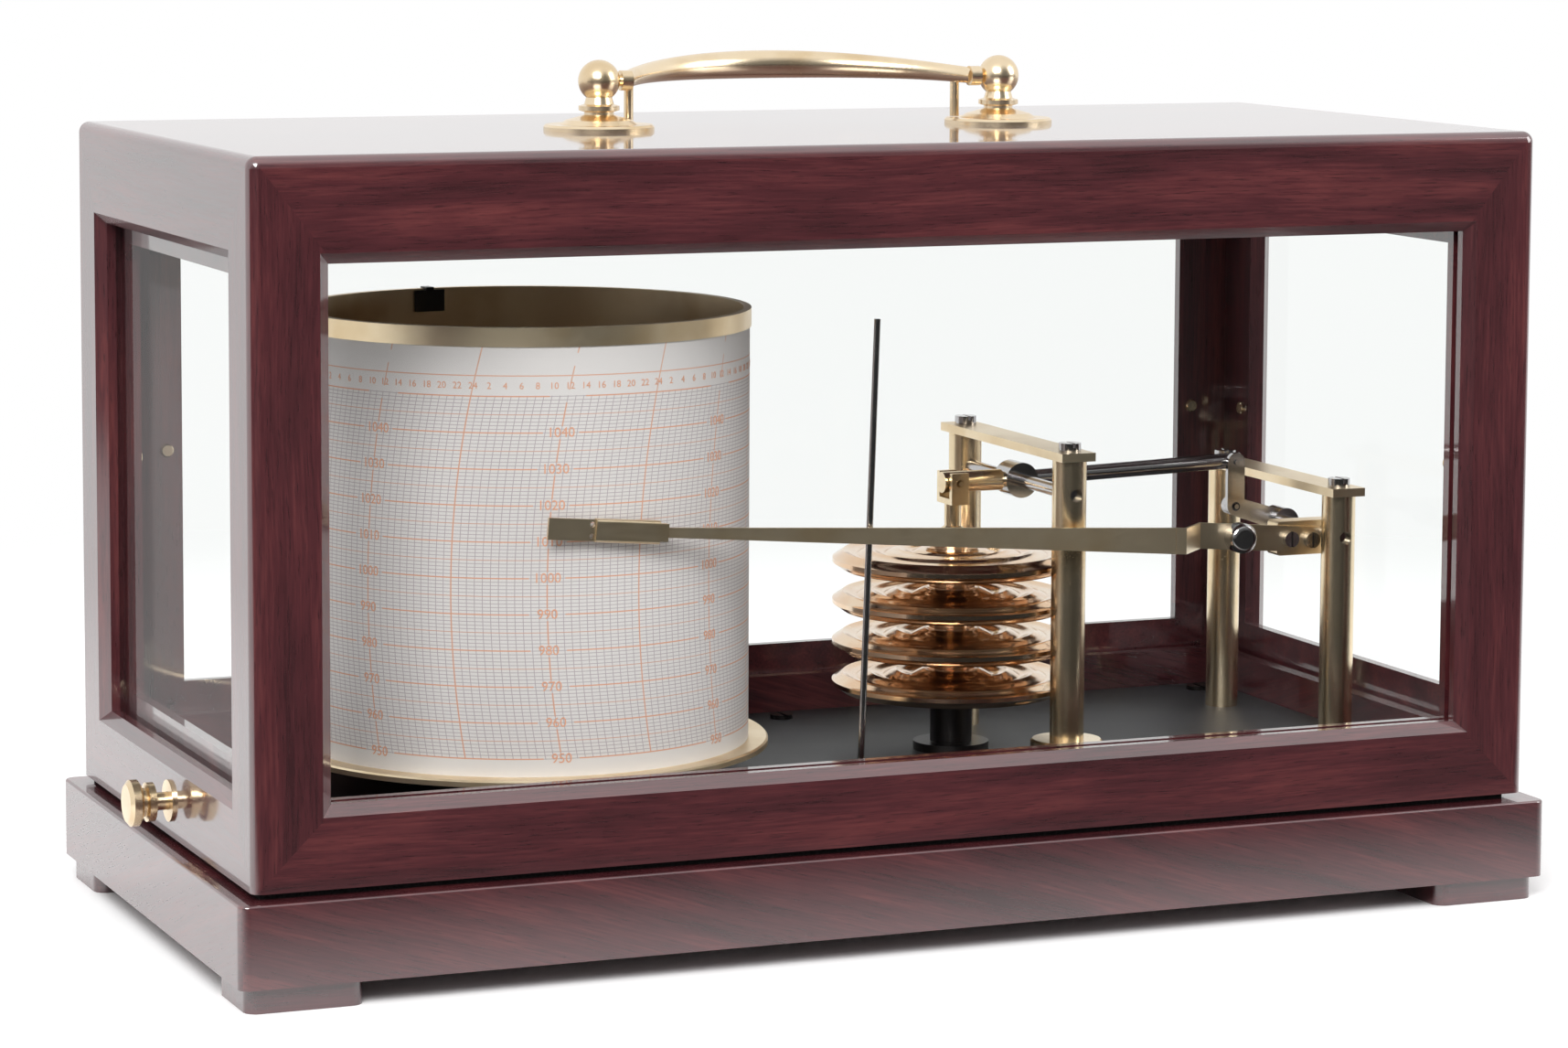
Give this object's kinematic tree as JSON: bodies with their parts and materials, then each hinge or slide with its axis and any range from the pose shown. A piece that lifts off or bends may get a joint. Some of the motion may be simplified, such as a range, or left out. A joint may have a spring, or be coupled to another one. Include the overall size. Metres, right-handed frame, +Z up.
{
  "type": "barograph",
  "caption": "Barograph in a glazed mahogany case: clock drum with a chart, stacked pressure capsules, brass posts and levers, and a pen arm; hood hinged at one end.",
  "frame": {"origin": "centre of the footprint, in the plane that the feet stand on", "axes": "+X along the case to the right as seen from the front, +Y to the rear, +Z up"},
  "size_m": [0.322, 0.152, 0.1966],
  "materials": {
    "mahogany": "polished dark red lacquer",
    "brass": "lacquered, fine satin",
    "steel": "polished",
    "dark_steel": "blackened",
    "copper_brass": "bright rolled, coppery",
    "black_paint": "satin black",
    "felt": "black felt",
    "glass": "clear polished",
    "paper": "printed chart"
  },
  "bodies": {
    "base": {"plinth": "mahogany", "feet": "mahogany", "foot_screws": "brass", "upstand_strips": "mahogany", "lock_keeper": "brass", "floor_plate": "black_paint", "floor_screws": "dark_steel", "seal_strips": "felt", "hinge_base_leaves": "brass", "hinge_pins": "steel", "lever_posts": "brass", "pen_posts": "brass", "post_collar": "brass", "lever_bridge": "brass", "pen_bridge": "brass", "bridge_screws": "steel", "pivot_screws": "steel", "capsule_pedestal": "dark_steel", "lifter_bracket": "brass", "drum_spindle": "steel", "drum_nut": "brass", "fixed_gear": "brass", "capsule_1": "copper_brass", "capsule_2": "copper_brass", "capsule_3": "copper_brass", "capsule_4": "copper_brass"},
    "hood": {"front_frame": "mahogany", "rear_frame": "mahogany", "left_frame": "mahogany", "right_frame": "mahogany", "top_panel": "mahogany", "long_panes": "glass", "end_panes": "glass", "glazing_beads": "mahogany", "bead_screws": "brass", "hinge_hood_leaves": "brass", "handle_pillars": "brass", "lock_escutcheon": "brass"},
    "carrying_bail": {"bail": "brass"},
    "lock": {"lock_knob": "brass"},
    "drum": {"drum_shell": "brass", "chart_paper": "paper", "chart_clip": "dark_steel", "clock_housing": "brass"},
    "pinion": {"clock_pinion": "brass"},
    "capsule_top": {"capsule_head": "brass"},
    "lever": {"lever_shaft": "steel", "lever_rod": "steel", "lever_sleeve": "brass"},
    "link": {"link_plate": "steel"},
    "pen_lever": {"pen_shaft": "steel", "pen_crank": "steel", "arm_bracket": "brass", "arm_screws": "steel", "thumb_screw": "steel", "pen_arm_root": "brass"},
    "pen": {"pen_arm": "brass", "pen_holder": "brass"},
    "lifter": {"lifter_rod": "steel"}
  },
  "joints": [
    {"name": "hood_hinge", "type": "hinge", "parent": "base", "child": "hood", "pos_m": [0.1588, 0, 0.0252], "axis": [0, 1, 0], "range_deg": [0, 90]},
    {"name": "bail_hinge", "type": "hinge", "parent": "hood", "child": "carrying_bail", "pos_m": [0.003, 0, 0.1911], "axis": [1, 0, 0], "range_deg": [0, 170]},
    {"name": "lock_slide", "type": "slide", "parent": "hood", "child": "lock", "axis": [1, 0, 0], "range_m": [0, 0.0032]},
    {"name": "drum_turn", "type": "hinge", "parent": "base", "child": "drum", "pos_m": [-0.0657, 0, 0.0396], "axis": [0, 0, 1], "continuous": true},
    {"name": "pinion_turn", "type": "hinge", "parent": "drum", "child": "pinion", "pos_m": [-0.0417, 0, 0.0338], "axis": [0, 0, 1], "continuous": true},
    {"name": "pen_lever_turn", "type": "hinge", "parent": "base", "child": "pen_lever", "pos_m": [0.1295, 0, 0.0815], "axis": [0, 1, 0], "range_deg": [-14, 8], "stiffness_Nm_per_rad": 0.004},
    {"name": "lever_turn", "type": "hinge", "parent": "base", "child": "lever", "pos_m": [0.058, 0, 0.095], "axis": [0, 1, 0], "range_deg": [-1.99, 3.48]},
    {"name": "capsule_rise", "type": "slide", "parent": "base", "child": "capsule_top", "axis": [0, 0, 1], "range_m": [-0.00057, 0.001], "deforming": ["capsule_1", "capsule_2", "capsule_3", "capsule_4"]},
    {"name": "link_swing", "type": "hinge", "parent": "lever", "child": "link", "pos_m": [0.1155, 0, 0.0968], "axis": [0, 1, 0], "range_deg": [-1.11, 1.95]},
    {"name": "lifter_tilt", "type": "hinge", "parent": "base", "child": "lifter", "pos_m": [-0.0005, -0.0447, 0.036], "axis": [1, 0, 0], "range_deg": [0, 4.2]},
    {"name": "pen_swing", "type": "hinge", "parent": "pen_lever", "child": "pen", "pos_m": [0.083, -0.0366, 0.08339], "axis": [0, 0, 1], "range_deg": [0, 3]}
  ],
  "couplings": [
    {"joint": "pinion_turn", "follows": "drum_turn", "ratio": 4},
    {"joint": "lever_turn", "follows": "pen_lever_turn", "ratio": -0.24348},
    {"joint": "capsule_rise", "follows": "pen_lever_turn", "m_per_rad": -0.004017},
    {"joint": "link_swing", "follows": "pen_lever_turn", "ratio": -0.13652},
    {"joint": "pen_swing", "follows": "lifter_tilt", "ratio": 0.7}
  ]
}
